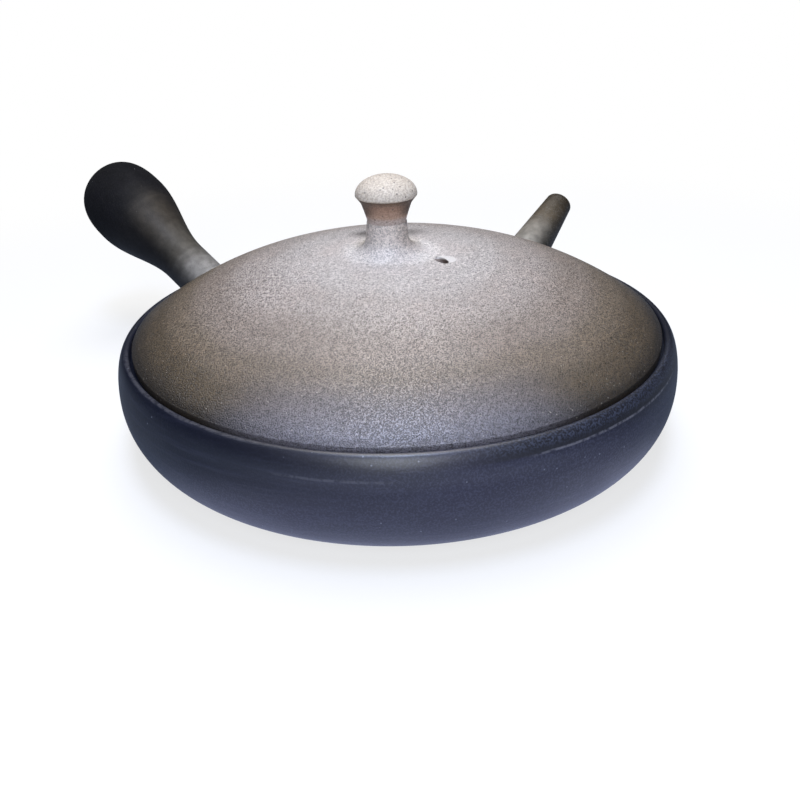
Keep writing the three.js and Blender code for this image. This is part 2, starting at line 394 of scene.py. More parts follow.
# %% [markdown]
# ## Where the arms stand
# Spout and handle are thrown apart, as tubes, and luted to the belly. Each is turned about its own axis and
# then laid along a line that leaves the belly and rises, which one matrix per arm does. The foot of a tube
# that rises is cut slanting, so that it meets an upright wall, and a shear near the foot does that.

# %% Frames of the arms
SPOUT_RISE = math.radians(22.8)
HANDLE_RISE = math.radians(27.2)
HANDLE_TURN = math.radians(82.4)
SPOUT_ROOT = RIM_HEIGHT - 9 * MM
HANDLE_ROOT = RIM_HEIGHT - 8.7 * MM
ROOT_DEPTH = 2.2 * MM
FOOT_BLEND = 9 * MM


def arm_frame(turn, rise, height):
    return (Matrix.Rotation(turn, 4, "Z") @ Matrix.Translation((BOWL_RADIUS, 0, height))
            @ Matrix.Rotation(math.pi / 2 - rise, 4, "Y"))


def slant_foot(shape, rise):
    for vert in shape.verts:
        if vert.co.z < FOOT_BLEND:
            share = (FOOT_BLEND - vert.co.z) / (FOOT_BLEND + ROOT_DEPTH)
            vert.co.z -= vert.co.x * math.tan(rise) * share


spout_frame = arm_frame(0, SPOUT_RISE, SPOUT_ROOT)
handle_frame = arm_frame(HANDLE_TURN, HANDLE_RISE, HANDLE_ROOT)
print("spout foot at", [round(v / MM, 1) for v in spout_frame.translation], "mm")
print("handle foot at", [round(v / MM, 1) for v in handle_frame.translation], "mm")

# %% [markdown]
# ## The bowl
# The bowl is thrown in one piece: a flat floor, a full belly, a shoulder that turns in to a narrow rounded
# rim, and a ledge inside the mouth that carries the lid. One closed outline holds all of it. A Solidify
# modifier could give the wall its thickness too, but not the ledge.

# %% Throw the bowl
BASE_RADIUS = 0.75 * BOWL_RADIUS
FLOOR_INNER_RING = 0.1 * BASE_RADIUS
FLOOR_OUTER_RING = 0.98 * BASE_RADIUS
BELLY_HEIGHT = 18.1 * MM
BELLY_CURVE = 2.07
WALL = 3.4 * MM
FLOOR = 4 * MM
RIM_ROUND = 0.9 * MM
LEDGE_DROP = 1.8 * MM
LEDGE_THICKNESS = 2 * MM
LEDGE_COVE = 0.8 * MM
LEDGE_ROUND = 0.6 * MM
CORNER = 0.2 * MM
RIM_INNER = LID_RADIUS + 0.6 * MM
RIM_TOP_RADIUS = RIM_INNER + RIM_ROUND
MOUTH_RADIUS = FLANGE_RADIUS + 0.7 * MM
LEDGE_HEIGHT = RIM_HEIGHT - LEDGE_DROP
FLOOR_STEPS = 8
BELLY_STEPS = 28
SHOULDER_STEPS = 22


def bowl_outside():
    floor_rings = line((FLOOR_INNER_RING, 0), (FLOOR_OUTER_RING, 0), FLOOR_STEPS)
    belly = arc((BASE_RADIUS, BELLY_HEIGHT), (BOWL_RADIUS - BASE_RADIUS, -BELLY_HEIGHT),
                90, 0, BELLY_STEPS, BELLY_CURVE)
    shoulder = arc((RIM_TOP_RADIUS, BELLY_HEIGHT), (BOWL_RADIUS - RIM_TOP_RADIUS, RIM_HEIGHT - BELLY_HEIGHT),
                   0, 90, SHOULDER_STEPS)
    return [(0, 0)] + floor_rings + belly + shoulder[1:]


def bowl_mouth():
    under = LEDGE_HEIGHT - LEDGE_THICKNESS
    lip = arc((RIM_TOP_RADIUS, RIM_HEIGHT - RIM_ROUND), (-RIM_ROUND, RIM_ROUND), 90, 0)[1:]
    step = [(RIM_INNER, LEDGE_HEIGHT + CORNER), (RIM_INNER - CORNER, LEDGE_HEIGHT)]
    nose = MOUTH_RADIUS + LEDGE_ROUND
    return (lip + step + arc((nose, LEDGE_HEIGHT - LEDGE_ROUND), (-LEDGE_ROUND, LEDGE_ROUND), 90, 0)
            + arc((nose, under + LEDGE_ROUND), (-LEDGE_ROUND, -LEDGE_ROUND), 0, 90)
            + [(RIM_INNER, under - LEDGE_COVE)])


def bowl_inside():
    belly = arc((BASE_RADIUS, BELLY_HEIGHT), (BOWL_RADIUS - WALL - BASE_RADIUS, FLOOR - BELLY_HEIGHT),
                0, 90, BELLY_STEPS, BELLY_CURVE)
    return belly + line((FLOOR_OUTER_RING, FLOOR), (FLOOR_INNER_RING, FLOOR), FLOOR_STEPS) + [(0, FLOOR)]


bowl = piece("bowl", thrown(bowl_outside() + bowl_mouth() + bowl_inside()), "pot", "bowl_clay", "pot_body")

# %% [markdown]
# ## The hole for the spout
# The potter pierces the damp wall before the spout goes on, so that tea can reach it. Here a rod along the
# spout's own line is cut out of the wall, and the hole comes out slanting as the spout does.

# %% Drill the hole
SPOUT_BORE = 4 * MM
DRILL_FROM = -9 * MM
DRILL_TO = 4 * MM
drill_outline = [(0, DRILL_FROM), (SPOUT_BORE, DRILL_FROM), (SPOUT_BORE, DRILL_TO), (0, DRILL_TO)]
spout_drill = thrown(drill_outline, TOOL_TURNS)
spout_drill.transform(spout_frame)
cut(bowl, spout_drill)

# %% [markdown]
# ## The lid
# The dome is flattest round the knob and turns down faster towards its edge, which a power curve gives.
# It ends in a thin edge that rests on the bowl's ledge. The boss for the knob grows out of the dome on a
# hollow curve, so that no crease shows there. It stands about a millimetre off the middle, as the photo shows:
# the lid is turned true first, and then the boss alone is slid aside, fading out towards its foot.

# %% Throw the lid
LID_EDGE = 2.2 * MM
LID_EDGE_ROUND = 0.5 * MM
LID_EDGE_TURN = 60
LID_BRINK = 0.4 * MM
LID_WALL = 3.4 * MM
LID_REST_WIDTH = 4 * MM
DOME_RISE = 18 * MM
DOME_CURVE = 2.6
DOME_STEPS = 40
BOSS_TOP_RADIUS = 4.9 * MM
BOSS_NECK_RADIUS = 5.15 * MM
BOSS_NECK_HEIGHT = 3.9 * MM
BOSS_FOOT_RADIUS = 10.2 * MM
BOSS_CURVE = 2.05
BOSS_ROUND = 0.25 * MM
BOSS_STEPS = 18
BOSS_CROWN_STEPS = 5
BOSS_SHIFT = TOWARDS_CAMERA @ Vector((-0.9, 0, 0)) * MM


def dome_height(radius):
    return LID_REST + LID_EDGE + DOME_RISE * (1 - (radius / LID_RADIUS) ** DOME_CURVE)


def boss_outline():
    foot, waist = dome_height(BOSS_FOOT_RADIUS), dome_height(0) + BOSS_NECK_HEIGHT
    flare = arc((BOSS_FOOT_RADIUS, waist), (BOSS_NECK_RADIUS - BOSS_FOOT_RADIUS, foot - waist),
                90, 0, BOSS_STEPS, BOSS_CURVE)
    crown = arc((BOSS_TOP_RADIUS - BOSS_ROUND, BOSS_TOP - BOSS_ROUND), (BOSS_ROUND, BOSS_ROUND),
                0, 90, BOSS_CROWN_STEPS)
    return flare[1:] + crown + [(0, BOSS_TOP)]


def lid_outline():
    rest = LID_RADIUS - LID_REST_WIDTH
    under = [(radius, dome_height(radius) - LID_WALL) for radius in spaced(0, rest, DOME_STEPS)]
    edge = arc((LID_RADIUS - LID_EDGE_ROUND, LID_REST + LID_EDGE - LID_EDGE_ROUND),
               (LID_EDGE_ROUND, LID_EDGE_ROUND), 0, LID_EDGE_TURN)
    radii = spaced(LID_RADIUS - LID_BRINK, BOSS_FOOT_RADIUS, DOME_STEPS)
    top = [(radius, dome_height(radius)) for radius in radii]
    return under + [(rest, LID_REST), (LID_RADIUS, LID_REST)] + edge + top + boss_outline()


def set_off_centre(shape):
    """Moves the boss a little to one side and lets its foot run out into the dome."""
    for vert in shape.verts:
        radius = math.hypot(vert.co.x, vert.co.y)
        if radius < BOSS_FOOT_RADIUS and vert.co.z > dome_height(radius) - LID_WALL / 2:
            share = min((BOSS_FOOT_RADIUS - radius) / (BOSS_FOOT_RADIUS - BOSS_NECK_RADIUS), 1)
            vert.co += BOSS_SHIFT * eased(share)
    return shape


lid = piece("lid", set_off_centre(thrown(lid_outline())), "lid_turner", "lid_clay", "lid_dome")

# %% [markdown]
# ## The vent
# The vent lets air in while tea pours. It was pierced with a thin tube and its mouth was opened with a
# fingertip, a little lopsided. A bevel would open it evenly, so the tool here is a rod whose upper end is
# pressed into a slanting oval.

# %% Pierce the vent
VENT_RADIUS = 1.75 * MM
VENT_MOUTH_DEPTH = 1.2 * MM
VENT_CLEARANCE = 2 * MM
VENT_DISTANCE = 14.5 * MM
VENT_TURN = math.radians(-92.6)
VENT_SLANT = -0.75
VENT_STRETCH = 1.1
VENT_SHAFT_STEPS = 4
VENT_MOUTH_STEPS = 8
VENT_PRESSED = Matrix(((1, 0, 0), (VENT_SLANT, VENT_STRETCH, 0), (0, 0, 1)))
VENT_OPENED = TOWARDS_CAMERA @ VENT_PRESSED @ TOWARDS_CAMERA.transposed()

vent_place = Vector((VENT_DISTANCE * math.cos(VENT_TURN), VENT_DISTANCE * math.sin(VENT_TURN), 0))


def vent_tool():
    top = dome_height(VENT_DISTANCE)
    foot, mouth = (VENT_RADIUS, LID_REST), (VENT_RADIUS, top - VENT_MOUTH_DEPTH)
    end = (VENT_RADIUS, top + VENT_CLEARANCE)
    tool = thrown([(0, LID_REST)] + line(foot, mouth, VENT_SHAFT_STEPS)
                  + line(mouth, end, VENT_MOUTH_STEPS)[1:] + [(0, end[1])], TOOL_TURNS)
    for vert in tool.verts:
        share = clamped((vert.co.z - top) / VENT_MOUTH_DEPTH + 1)
        vert.co = vert.co.lerp(VENT_OPENED @ vert.co, share)
    tool.transform(Matrix.Translation(vent_place))
    return tool


cut(lid, vent_tool())

# %% [markdown]
# ## The ring under the lid
# A ring under the dome drops into the mouth, so that the lid can't slide off when the pot is tilted. It
# belongs to the lid, and its top is sunk a little into the dome's underside, as luted clay is.

# %% Throw the ring
FLANGE_THICKNESS = 3 * MM
FLANGE_ROUND = 0.8 * MM
LUTING = 0.5 * MM


def flange_outline():
    inner = FLANGE_RADIUS - FLANGE_THICKNESS
    foot = FLANGE_FOOT + FLANGE_ROUND
    return (arc((inner + FLANGE_ROUND, foot), (-FLANGE_ROUND, -FLANGE_ROUND), 0, 90)
            + arc((FLANGE_RADIUS - FLANGE_ROUND, foot), (FLANGE_ROUND, -FLANGE_ROUND), 90, 0)
            + [(FLANGE_RADIUS, dome_height(FLANGE_RADIUS) - LID_WALL + LUTING),
               (inner, dome_height(inner) - LID_WALL + LUTING), (inner, foot)])


flange = piece("lid_ring", thrown(flange_outline()), "lid_lifter", "inner_clay", "lid_flange")

# %% [markdown]
# ## The knob
# The knob is a mushroom: a neck that widens upwards and a low cap that overhangs it. It was thrown apart and
# stuck on the boss with slip, so a fine seam shows under the neck. It is spun about its own axis and then
# moved aside with the boss.

# %% Throw the knob
NECK_RADIUS = 4.6 * MM
NECK_TOP_RADIUS = 6.15 * MM
NECK_CURVE = 1.2
NECK_STEPS = 12
CAP_RISE = 4.6 * MM
CAP_UNDER = 1.9 * MM
CAP_EDGE = 0.35 * MM
CAP_LIP = 0.4 * CAP_EDGE
CAP_UNDER_STEPS = 6
CAP_EDGE_STEPS = 4
CAP_STEPS = 22


def knob_outline():
    widest = KNOB_TOP - CAP_RISE
    neck_foot, neck_top = BOSS_TOP - LUTING, widest - CAP_UNDER
    neck = [(NECK_RADIUS + (NECK_TOP_RADIUS - NECK_RADIUS) * share ** NECK_CURVE,
             neck_foot + (neck_top - neck_foot) * share) for share in spaced(0, 1, NECK_STEPS)]
    under = line((NECK_TOP_RADIUS, neck_top), (CAP_RADIUS - CAP_LIP, widest - CAP_EDGE), CAP_UNDER_STEPS)[1:]
    edge = arc((CAP_RADIUS - CAP_LIP, widest), (CAP_LIP, -CAP_EDGE), 90, 0, CAP_EDGE_STEPS)[1:]
    cap = arc((0, widest), (CAP_RADIUS, CAP_RISE), 0, 90, CAP_STEPS)[1:]
    return [(0, neck_foot)] + neck + under + edge + cap


knob_shape = thrown(knob_outline(), SMALL_TURNS)
knob_shape.transform(Matrix.Translation(BOSS_SHIFT))
knob = piece("knob", knob_shape, "lid_turner", "knob_clay", "lid_knob")

# %% [markdown]
# ## The spout
# The spout is a tube with its own wall. It flares softly where it leaves the belly and narrows to a rounded
# lip. A curve with a bevel could make a tube, but an outline can give the inside a bore of its own.

# %% Throw the spout
SPOUT_LENGTH = 35.95 * MM
SPOUT_FOOT_LENGTH = 13 * MM
SPOUT_FOOT_RADIUS = 7.3 * MM
SPOUT_NECK_RADIUS = 6.2 * MM
SPOUT_TIP_RADIUS = 4.3 * MM
SPOUT_TIP_BORE = 2.8 * MM
SPOUT_LIP = 0.4 * MM
SPOUT_STEPS = 30
BORE_STEPS = 8


def spout_radius(place):
    if place < SPOUT_FOOT_LENGTH:
        share = 1 - max(place, 0) / SPOUT_FOOT_LENGTH
        return SPOUT_NECK_RADIUS + (SPOUT_FOOT_RADIUS - SPOUT_NECK_RADIUS) * (1 - math.sqrt(1 - share ** 2))
    share = (place - SPOUT_FOOT_LENGTH) / (SPOUT_LENGTH - SPOUT_FOOT_LENGTH)
    return SPOUT_NECK_RADIUS + (SPOUT_TIP_RADIUS - SPOUT_NECK_RADIUS) * share


def spout_outline():
    lip = SPOUT_LENGTH - SPOUT_LIP
    outside = [(spout_radius(place), place) for place in spaced(-ROOT_DEPTH, lip, SPOUT_STEPS)]
    tip = arc((SPOUT_TIP_RADIUS - SPOUT_LIP, lip), (SPOUT_LIP, SPOUT_LIP), 0, 90)[1:] + arc(
        (SPOUT_TIP_BORE + SPOUT_LIP, lip), (-SPOUT_LIP, SPOUT_LIP), 90, 0)
    bend = (SPOUT_BORE, SPOUT_FOOT_LENGTH)
    narrowing = line((SPOUT_TIP_BORE, lip), bend, BORE_STEPS)[1:]
    bore = line(bend, (SPOUT_BORE, -ROOT_DEPTH), BORE_STEPS)[1:]
    return outside + tip + narrowing + bore + [(SPOUT_FOOT_RADIUS, -ROOT_DEPTH)]


spout_shape = thrown(spout_outline(), SMALL_TURNS)
slant_foot(spout_shape, SPOUT_RISE)
spout_shape.transform(spout_frame)
spout = piece("spout_tube", spout_shape, "pot", "spout_clay", "spout")

# %% [markdown]
# ## The handle
# The handle has a slim waist and swells to a club that fills the hand. It is hollow, to stay light and cool,
# and has a small hole in its end, so that it doesn't burst in the kiln. An eased share along its length gives
# the swelling, and its end is a quarter curve a little squarer than a ball.

# %% Throw the handle
HANDLE_LENGTH = 60.6 * MM
HANDLE_WAIST_RADIUS = 6.95 * MM
HANDLE_WAIST_LENGTH = 17.5 * MM
HANDLE_CLUB_RADIUS = 12.8 * MM
HANDLE_CLUB_PLACE = 45 * MM
HANDLE_WALL = 3.2 * MM
HANDLE_VENT = 2.5 * MM
HANDLE_END_CURVE = 2.8
HANDLE_STEPS = 36
HANDLE_END_STEPS = 24
HANDLE_TURNS = 128


def handle_radius(place):
    share = clamped((place - HANDLE_WAIST_LENGTH) / (HANDLE_CLUB_PLACE - HANDLE_WAIST_LENGTH))
    return HANDLE_WAIST_RADIUS + (HANDLE_CLUB_RADIUS - HANDLE_WAIST_RADIUS) * eased(share)


def handle_end(wall):
    """The closed end of the club, as far as the small hole in it."""
    span = (HANDLE_CLUB_RADIUS - wall, HANDLE_LENGTH - HANDLE_CLUB_PLACE - wall)
    points = arc((0, HANDLE_CLUB_PLACE), span, 0, 90, HANDLE_END_STEPS, HANDLE_END_CURVE)
    return [point for point in points if point[0] > HANDLE_VENT]


def handle_outline():
    places = spaced(-ROOT_DEPTH, HANDLE_CLUB_PLACE, HANDLE_STEPS)[:-1]
    outside = [(handle_radius(place), place) for place in places] + handle_end(0)
    inside = handle_end(HANDLE_WALL)[::-1] + [
        (handle_radius(place) - HANDLE_WALL, place) for place in reversed(places)]
    return outside + inside + [outside[0]]


handle_shape = thrown(handle_outline(), HANDLE_TURNS)
slant_foot(handle_shape, HANDLE_RISE)
handle_shape.transform(handle_frame)
handle = piece("handle_tube", handle_shape, "pot", "handle_clay", "handle")

# %% [markdown]
# ## The luting clay
# Where a tube meets the belly, a soft coil of clay is pressed into the corner and smoothed with a finger into
# a hollow fillet. Its ring is spun about a level line first, as if the wall were flat and the tube straight
# out of it, and then every corner is moved to where it lies on the round belly and the rising tube.

# %% Press the coils on
COIL_WIDTH = 2.2 * MM
COIL_TOP_WIDTH = 0.7 * MM
COIL_REACH = 3.2 * MM
COIL_ROOT_WIDTH = 2 * MM
COIL_CEILING = RIM_HEIGHT - 0.9 * MM
COIL_INNER = -0.25
COIL_BURIED = -0.2
COIL_STEPS = 10


def wall_radius(height):
    if height < BELLY_HEIGHT:
        share = (BELLY_HEIGHT - height) / BELLY_HEIGHT
        return BASE_RADIUS + (BOWL_RADIUS - BASE_RADIUS) * (1 - share ** BELLY_CURVE) ** (1 / BELLY_CURVE)
    share = min((height - BELLY_HEIGHT) / (RIM_HEIGHT - BELLY_HEIGHT), 1)
    return RIM_TOP_RADIUS + (BOWL_RADIUS - RIM_TOP_RADIUS) * math.sqrt(1 - share ** 2)


def coil(tube_radius, rise, root):
    hollow = arc((1, 1), (-1, -1), 0, 90, COIL_STEPS)
    ring = [(COIL_INNER, 1)] + hollow + [(1, COIL_BURIED), (COIL_INNER, COIL_BURIED), (COIL_INNER, 1)]
    shape = thrown([(1 + across, up) for across, up in ring], SMALL_TURNS)
    for vert in shape.verts:
        flat = Vector((vert.co.x, vert.co.y))
        across, out = flat.length - 1, vert.co.z * COIL_REACH
        facing = flat.normalized()
        width = COIL_WIDTH + (COIL_TOP_WIDTH - COIL_WIDTH) * max(facing.y, 0) ** 2
        radius = tube_radius(out) + across * (width if across > 0 else COIL_ROOT_WIDTH)
        side = radius * facing.x
        height = root + out * math.tan(rise) + radius * facing.y / math.cos(rise)
        wall_height = min(height, COIL_CEILING)
        height = wall_height + (height - wall_height) * clamped(vert.co.z)
        depth = math.sqrt(max(wall_radius(wall_height) ** 2 - side ** 2, 0))
        vert.co = (depth + out, side, height)
    bmesh.ops.recalc_face_normals(shape, faces=shape.faces)
    return shape


spout_coil_shape = coil(spout_radius, SPOUT_RISE, SPOUT_ROOT)
spout_coil = piece("spout_luting", spout_coil_shape, "pot", "spout_clay", "spout_coil")
handle_coil_shape = coil(handle_radius, HANDLE_RISE, HANDLE_ROOT)
handle_coil_shape.transform(Matrix.Rotation(HANDLE_TURN, 4, "Z"))
handle_coil = piece("handle_luting", handle_coil_shape, "pot", "handle_clay", "handle_coil")

# %% [markdown]
# ## The strainer
# Inside the bowl, a little pierced dome covers the hole to the spout and holds the leaves back. It can be seen
# only when the lid is off. It is a shell, trimmed to the room inside the bowl and pierced with a thin tube.

# %% Form and pierce the strainer
STRAINER_RADIUS = 7.4 * MM
STRAINER_WALL = 1.6 * MM
STRAINER_HOLE = 0.75 * MM
STRAINER_PITCH = 2.1 * MM
STRAINER_RINGS = 2
STRAINER_SEAT = -WALL / math.cos(SPOUT_RISE)
STRAINER_STEPS = 16
STRAINER_TURNS = 64
HOLE_SIDES = 16


def ball(radius):
    lower = arc((0, STRAINER_SEAT), (radius, -radius), 90, 0, STRAINER_STEPS)
    upper = arc((0, STRAINER_SEAT), (radius, radius), 0, 90, STRAINER_STEPS)
    shape = thrown(lower + upper[1:], STRAINER_TURNS)
    shape.transform(spout_frame)
    return shape


def strainer_holes():
    tool = bmesh.new()
    for ring in range(STRAINER_RINGS + 1):
        count = max(6 * ring, 1)
        for i in range(count):
            out, turn = STRAINER_PITCH * ring, math.tau * i / count
            middle = (out * math.cos(turn), out * math.sin(turn), STRAINER_SEAT - STRAINER_RADIUS)
            bmesh.ops.create_cone(tool, cap_ends=True, segments=HOLE_SIDES, radius1=STRAINER_HOLE,
                                  radius2=STRAINER_HOLE, depth=2 * STRAINER_RADIUS,
                                  matrix=Matrix.Translation(middle))
    tool.transform(spout_frame)
    return tool


strainer = piece("strainer_dome", ball(STRAINER_RADIUS), "pot", "inner_clay", "strainer")
cut(strainer, ball(STRAINER_RADIUS - STRAINER_WALL))
cut(strainer, strainer_holes())
room = bowl_inside()[::-1] + [(BOWL_RADIUS - WALL, RIM_HEIGHT), (0, RIM_HEIGHT)]
cut(strainer, thrown(room, SMALL_TURNS), "INTERSECT")

# %% [markdown]
# ## Marks on the bowl
# Smoke darkened the belly on the handle's side, and painted shade darkens it there too, as on a side turned
# from the light. Smoke also darkened it under the rim on the spout's side. The rim and the shoulder are worn
# where the lid and the hands touch them. These marks could be painted by hand on a map, but each is only a
# bearing round the pot and a height, and a mask made of the two moves with the sizes.

# %% Mask the marks
# Each mark is a bearing round the pot, a spread and a fade, in degrees.
VIOLET_SIDE = (222, 22, 40)
SOOT_AND_SHADE_SIDE = (152, 30, 40)
SMOKED_SIDE = (292, 22, 26)
KNOCKED_RIM = (164, 20, 14)
BRUSHED_SPOT = (203, 6, 6)
RUBBED_FRONT = (257, 15, 9)
SCORCHED_FRONT = (257, 20, 16)
HANDLED_FRONT = (212, 18, 26)


def bearing(place, degrees, spread, fade):
    """One within a spread of a bearing round the pot, fading out beyond it."""
    flat = place.vector("NORMALIZE", place.vector("MULTIPLY", place, (1, 1, 0)))
    turn = math.radians(degrees)
    facing = flat.vector("DOT_PRODUCT", flat, (math.cos(turn), math.sin(turn), 0), 1)
    return facing.between(math.cos(math.radians(spread + fade)), math.cos(math.radians(spread)))


def below_rim(height, low, high):
    """From 0 to 1 between two depths below the rim, in millimetres."""
    return height.between(RIM_HEIGHT - low * MM, RIM_HEIGHT - high * MM)


def scuff(place, height, level, half_width):
    """A level line that wavers and breaks up, as rubbed clay does."""
    wavering = height + (noise(place, 130) - 0.5) * 0.5 * MM
    offset = wavering.maths("ABSOLUTE", wavering - level)
    return (1 - offset.between(half_width * 0.3, half_width)) * noise(place, 900, 3).between(0.28, 0.6)


# %% [markdown]
# ## The bowl's clay
# The bowl was smoked blue-black in the kiln and then rubbed smooth. It is matt, with a very fine grain, tiny
# pale grains of sand and faint level lines from the turning, and its shoulder's front has a burnish. Each of
# these is one mix over the colour before it, in the order in which fire, smoke and wear came.

# %% Mix the bowl's clay
def bowl_clay():
    material, place = start_material("bowl_clay")
    height = coordinate(place, "z")
    cloud = noise(place, 45, 3)
    grain = noise(place, 2400, 3)
    smoke = cloud.between(0.3, 0.7).mix("141528", "1c1b32")
    teal = (1 - bearing(place, *VIOLET_SIDE)).mix(smoke, "0d1a30")
    grained = (grain.between(0.43, 0.66) * 0.72).mix(teal, "3b3c50")
    # Darker belly on the left: partly smoke, partly painted shade on the side turned from the light.
    soot_and_shade = bearing(place, *SOOT_AND_SHADE_SIDE) * height.between(12 * MM, 21 * MM) * 0.85
    dark = bearing(place, *SMOKED_SIDE) * below_rim(height, 6.5, 2.5) * 0.7
    side_darkened = dark.mix(soot_and_shade.mix(grained, "060b1c"), "0b0c13")
    drawn = noise(place.vector("MULTIPLY", place, (1, 1, 14)), 60, 3).between(0.45, 0.75) * 0.25
    lined = drawn.mix(side_darkened, "3a3c50")
    collar = below_rim(height, 3.3, 2.7) * bearing(place, *SCORCHED_FRONT)
    scorched = (collar * 0.8).mix(lined, "1b1b20")
    dusty = below_rim(height, 2.6, 1.2) * collar
    dusted = (dusty * grain.between(0.4, 0.65) * 0.3).mix(scorched, "666f8a")
    rim = scuff(place, height, RIM_HEIGHT, 0.3 * MM) * bearing(place, *KNOCKED_RIM) * 0.12
    brushed = scuff(place, height, RIM_HEIGHT - 5 * MM, 0.4 * MM) * bearing(place, *BRUSHED_SPOT) * 0.12
    shoulder = scuff(place, height, RIM_HEIGHT - 3.1 * MM, 0.35 * MM) * bearing(place, *RUBBED_FRONT) * 0.36
    rubbed = rim.maths("MAXIMUM", rim + brushed, shoulder).mix(dusted, "9d9ca6")
    sandy = (specks(place, 800, 0.18, 0.035) * 0.45).mix(rubbed, "9a9fb0")
    bump = grain + noise(place, 900) * 0.6 + drawn * 2
    handled = below_rim(height, 8, 4) * bearing(place, *HANDLED_FRONT)
    roughness = 0.42 + cloud.between(0.2, 0.8) * 0.1
    return finish_clay(material, sandy, roughness, bump, 0.04 * MM, 0.5, handled * 0.7)


give(bowl, bowl_clay())

# %% [markdown]
# ## The lid's clay
# The lid was sheltered from the smoke in its middle: pale round the knob, sandy beige half way, olive-brown
# and charcoal at the edge. A colour ramp on the radius gives that, and a cool grey painted sheen lies over its
# front edge.
# Dark specks and pale grains stand thickly all over it, and they show more strongly where the clay is darker.
# Two soft patches of painted shade lie behind the boss. The brink of the vent is pale on one side, from wear
# and a painted highlight, and painted shade darkens the inside of the vent.

# %% Mix the lid's clay
LID_FRONT = (213, 25, 40)
SHEEN_FRONT = (213, 2, 38)
# Centres of two soft patches of painted shade behind the boss.
SHADE_BEHIND_BOSS = [TOWARDS_CAMERA @ Vector((across, 16, 0)) * MM for across in (-6.3, 5.2)]
VENT_BRINK_LIT = TOWARDS_CAMERA @ Vector((1.2, 0.7, 0)) * MM
VENT_SHADE_FROM = dome_height(VENT_DISTANCE) - 0.2 * MM
VENT_SHADE_TO = dome_height(VENT_DISTANCE) - 0.5 * MM


def lid_shade(place, flat, radius):
    """The clay's own colour, with a painted sheen at the front and painted shade behind the boss."""
    worn_radius = radius + (noise(place, 30) - 0.5) * 0.12
    shade = worn_radius.ramp(
        (0.0, "dacabf"), (0.13, "f0eae6"), (0.2, "d5cdc9"), (0.32, "c9c2be"), (0.5, "b4aaa4"),
        (0.7, "93867c"), (0.82, "7a6c5c"), (0.91, "5a4d3c"), (1.0, "2d261e"))
    # A cool grey painted sheen along the front edge of the lid.
    painted_sheen = worn_radius.between(0.74, 1.0) * bearing(place, *SHEEN_FRONT) * 0.46
    sheened = painted_sheen.mix(shade, "9291a3")
    # Two soft patches of painted shade behind the boss.
    left_shade, right_shade = [1 - how_far(flat, spot).between(0.5 * MM, 6 * MM) for spot in SHADE_BEHIND_BOSS]
    return (left_shade * 0.85 + right_shade * 0.6).mix(sheened, "5f5955")


def lid_vent_marks(place, flat, colour):
    """The vent's brink, pale on one side from wear and a painted highlight, and painted shade inside it."""
    # Pale brink on one side: partly worn clay, partly a painted highlight.
    worn_and_lit = 1 - how_far(flat, vent_place + VENT_BRINK_LIT).between(2.2 * MM, 2.7 * MM)
    # Painted shade inside the vent, below its brink.
    deep_shade = 1 - coordinate(place, "z").between(VENT_SHADE_TO, VENT_SHADE_FROM)
    inside = (1 - how_far(flat, vent_place).between(2.6 * MM, 2.8 * MM)) * deep_shade
    return inside.mix((worn_and_lit * 0.85).mix(colour, "ebe6e2"), "80716a")


def lid_clay():
    material, place = start_material("lid_clay")
    flat = place.vector("MULTIPLY", place, (1, 1, 0))
    radius = how_far(flat) / LID_RADIUS
    front = bearing(place, *LID_FRONT)
    sand = noise(place, 3300).between(0.42, 0.64)
    coarse = noise(place, 1100, 3).between(0.35, 0.65)
    gritty = (radius.between(0.08, 0.6) * (1 - front * 0.45)).mix(
        sand.mix(grey(1.1), grey(0.62)), sand.mix(grey(1.37), grey(0.29)))
    grained = place.vector("MULTIPLY", lid_shade(place, flat, radius), gritty)
    patches = (radius.between(0.5, 0.9) * (1 - front)).mix(
        coarse.mix(grey(1.07), (0.8, 0.79, 0.79, 1)), coarse.mix((1.12, 1.12, 1.11, 1), grey(0.74)))
    mottled = place.vector("MULTIPLY", grained, patches)
    blushed = (noise(place, 110).between(0.4, 0.75) * 0.22).mix(mottled, (1.0, 0.9, 0.84, 1), "MULTIPLY")
    specked = (specks(place, 1100, 0.32, 0.5) * 0.7).mix(blushed, (0.36, 0.33, 0.32, 1), "MULTIPLY")
    lit = (specks(place, 1300, 0.34, 0.28) * 0.5).mix(specked, (1.35, 1.35, 1.34, 1), "MULTIPLY")
    sandy = (specks(place, 1700, 0.32, 0.06) * 0.3).mix(lit, "e2dad0")
    pierced = lid_vent_marks(place, flat, sandy)
    bump = (1 - sand) * 1.4 + (1 - coarse) * 0.5 + noise(place, 500) * 0.4
    return finish_clay(material, pierced, 0.4 + sand * 0.12, bump, 0.04 * MM, 1.0)


give(lid, lid_clay())

# %% [markdown]
# ## The knob's clay
# The cap stood clear of the smoke and stayed a pale warm grey with scattered dark specks. Its neck is a warm
# brown, with painted shade that darkens it under the cap and at its left and right edges as seen from the
# camera, and the slip that holds it left the foot of the neck as pale as the boss. A ramp on the height gives
# the neck, and a soft step at the brim ends it.

# %% Mix the knob's clay
STUCK_HEIGHT = BOSS_TOP + 1.8 * MM
BRIM_HEIGHT = KNOB_TOP - CAP_RISE - 1.2 * CAP_EDGE


